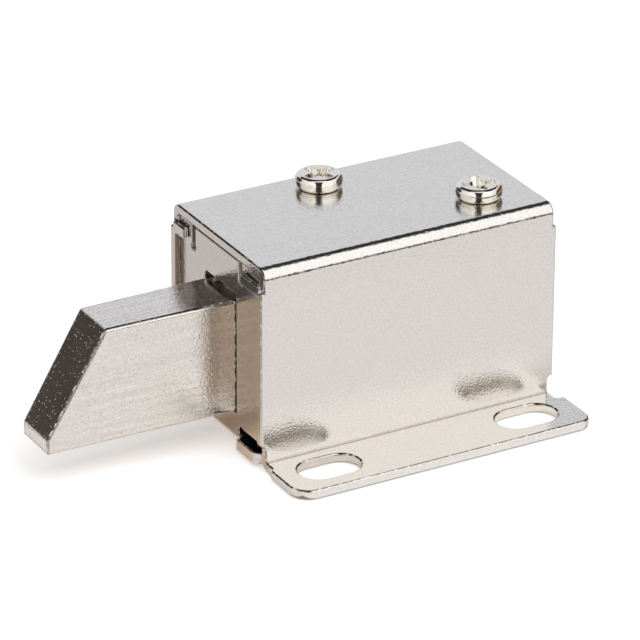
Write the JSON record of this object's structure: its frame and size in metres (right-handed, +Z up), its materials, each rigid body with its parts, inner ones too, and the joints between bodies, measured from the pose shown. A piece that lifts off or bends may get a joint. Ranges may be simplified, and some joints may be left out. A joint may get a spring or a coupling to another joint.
{
  "type": "solenoid lock",
  "caption": "Small cabinet solenoid lock: folded nickel-plated case with a slotted side flange and a sprung bolt with a slanted face, which a pull coil draws in.",
  "frame": {"origin": "midway between the two mounting slots, on the flange's underside", "axes": "+X along the bolt, towards the case's rear, so the bolt points along -X; +Y from the flange across the case; +Z up, away from the surface it is screwed to"},
  "size_m": [0.0643, 0.0313, 0.0278],
  "materials": {
    "nickel_sheet": "satin nickel plate on folded steel sheet",
    "nickel_casting": "nickel plate on a fine-grained die casting",
    "nickel_screw": "bright nickel plate",
    "soft_iron": "turned, thinly plated",
    "zinc_sheet": "zinc plated",
    "spring_steel": "bright drawn",
    "brass_tube": "drawn brass",
    "enamelled_copper": "enamelled copper wire, with brass standing in for copper's weight",
    "tinned_brass": "tinned",
    "bobbin_plastic": "natural moulded nylon",
    "polyester_tape": "polyester film tape",
    "grommet_rubber": "soft black"
  },
  "bodies": {
    "case": {"cover": "nickel_sheet", "base_frame": "nickel_sheet", "coil_yoke": "zinc_sheet", "yoke_bush": "zinc_sheet", "plunger_sleeve": "brass_tube", "pole_piece": "soft_iron", "pole_shim": "brass_tube", "bobbin": "bobbin_plastic", "coil_winding": "enamelled_copper", "coil_tape": "polyester_tape", "terminal_pin_1": "tinned_brass", "terminal_pin_2": "tinned_brass", "lead_grommet": "grommet_rubber", "cover_screw_front": "nickel_screw", "cover_screw_rear": "nickel_screw", "spring_seat_washer": "spring_steel", "return_spring": "spring_steel"},
    "bolt": {"latch_bolt": "nickel_casting", "plunger": "soft_iron", "cross_pin": "spring_steel"}
  },
  "joints": [
    {"name": "bolt_slide", "type": "slide", "parent": "case", "child": "bolt", "axis": [1, 0, 0], "range_m": [0, 0.008], "stiffness_N_per_m": 200, "springref_m": -0.006, "deforming": ["return_spring"]}
  ]
}
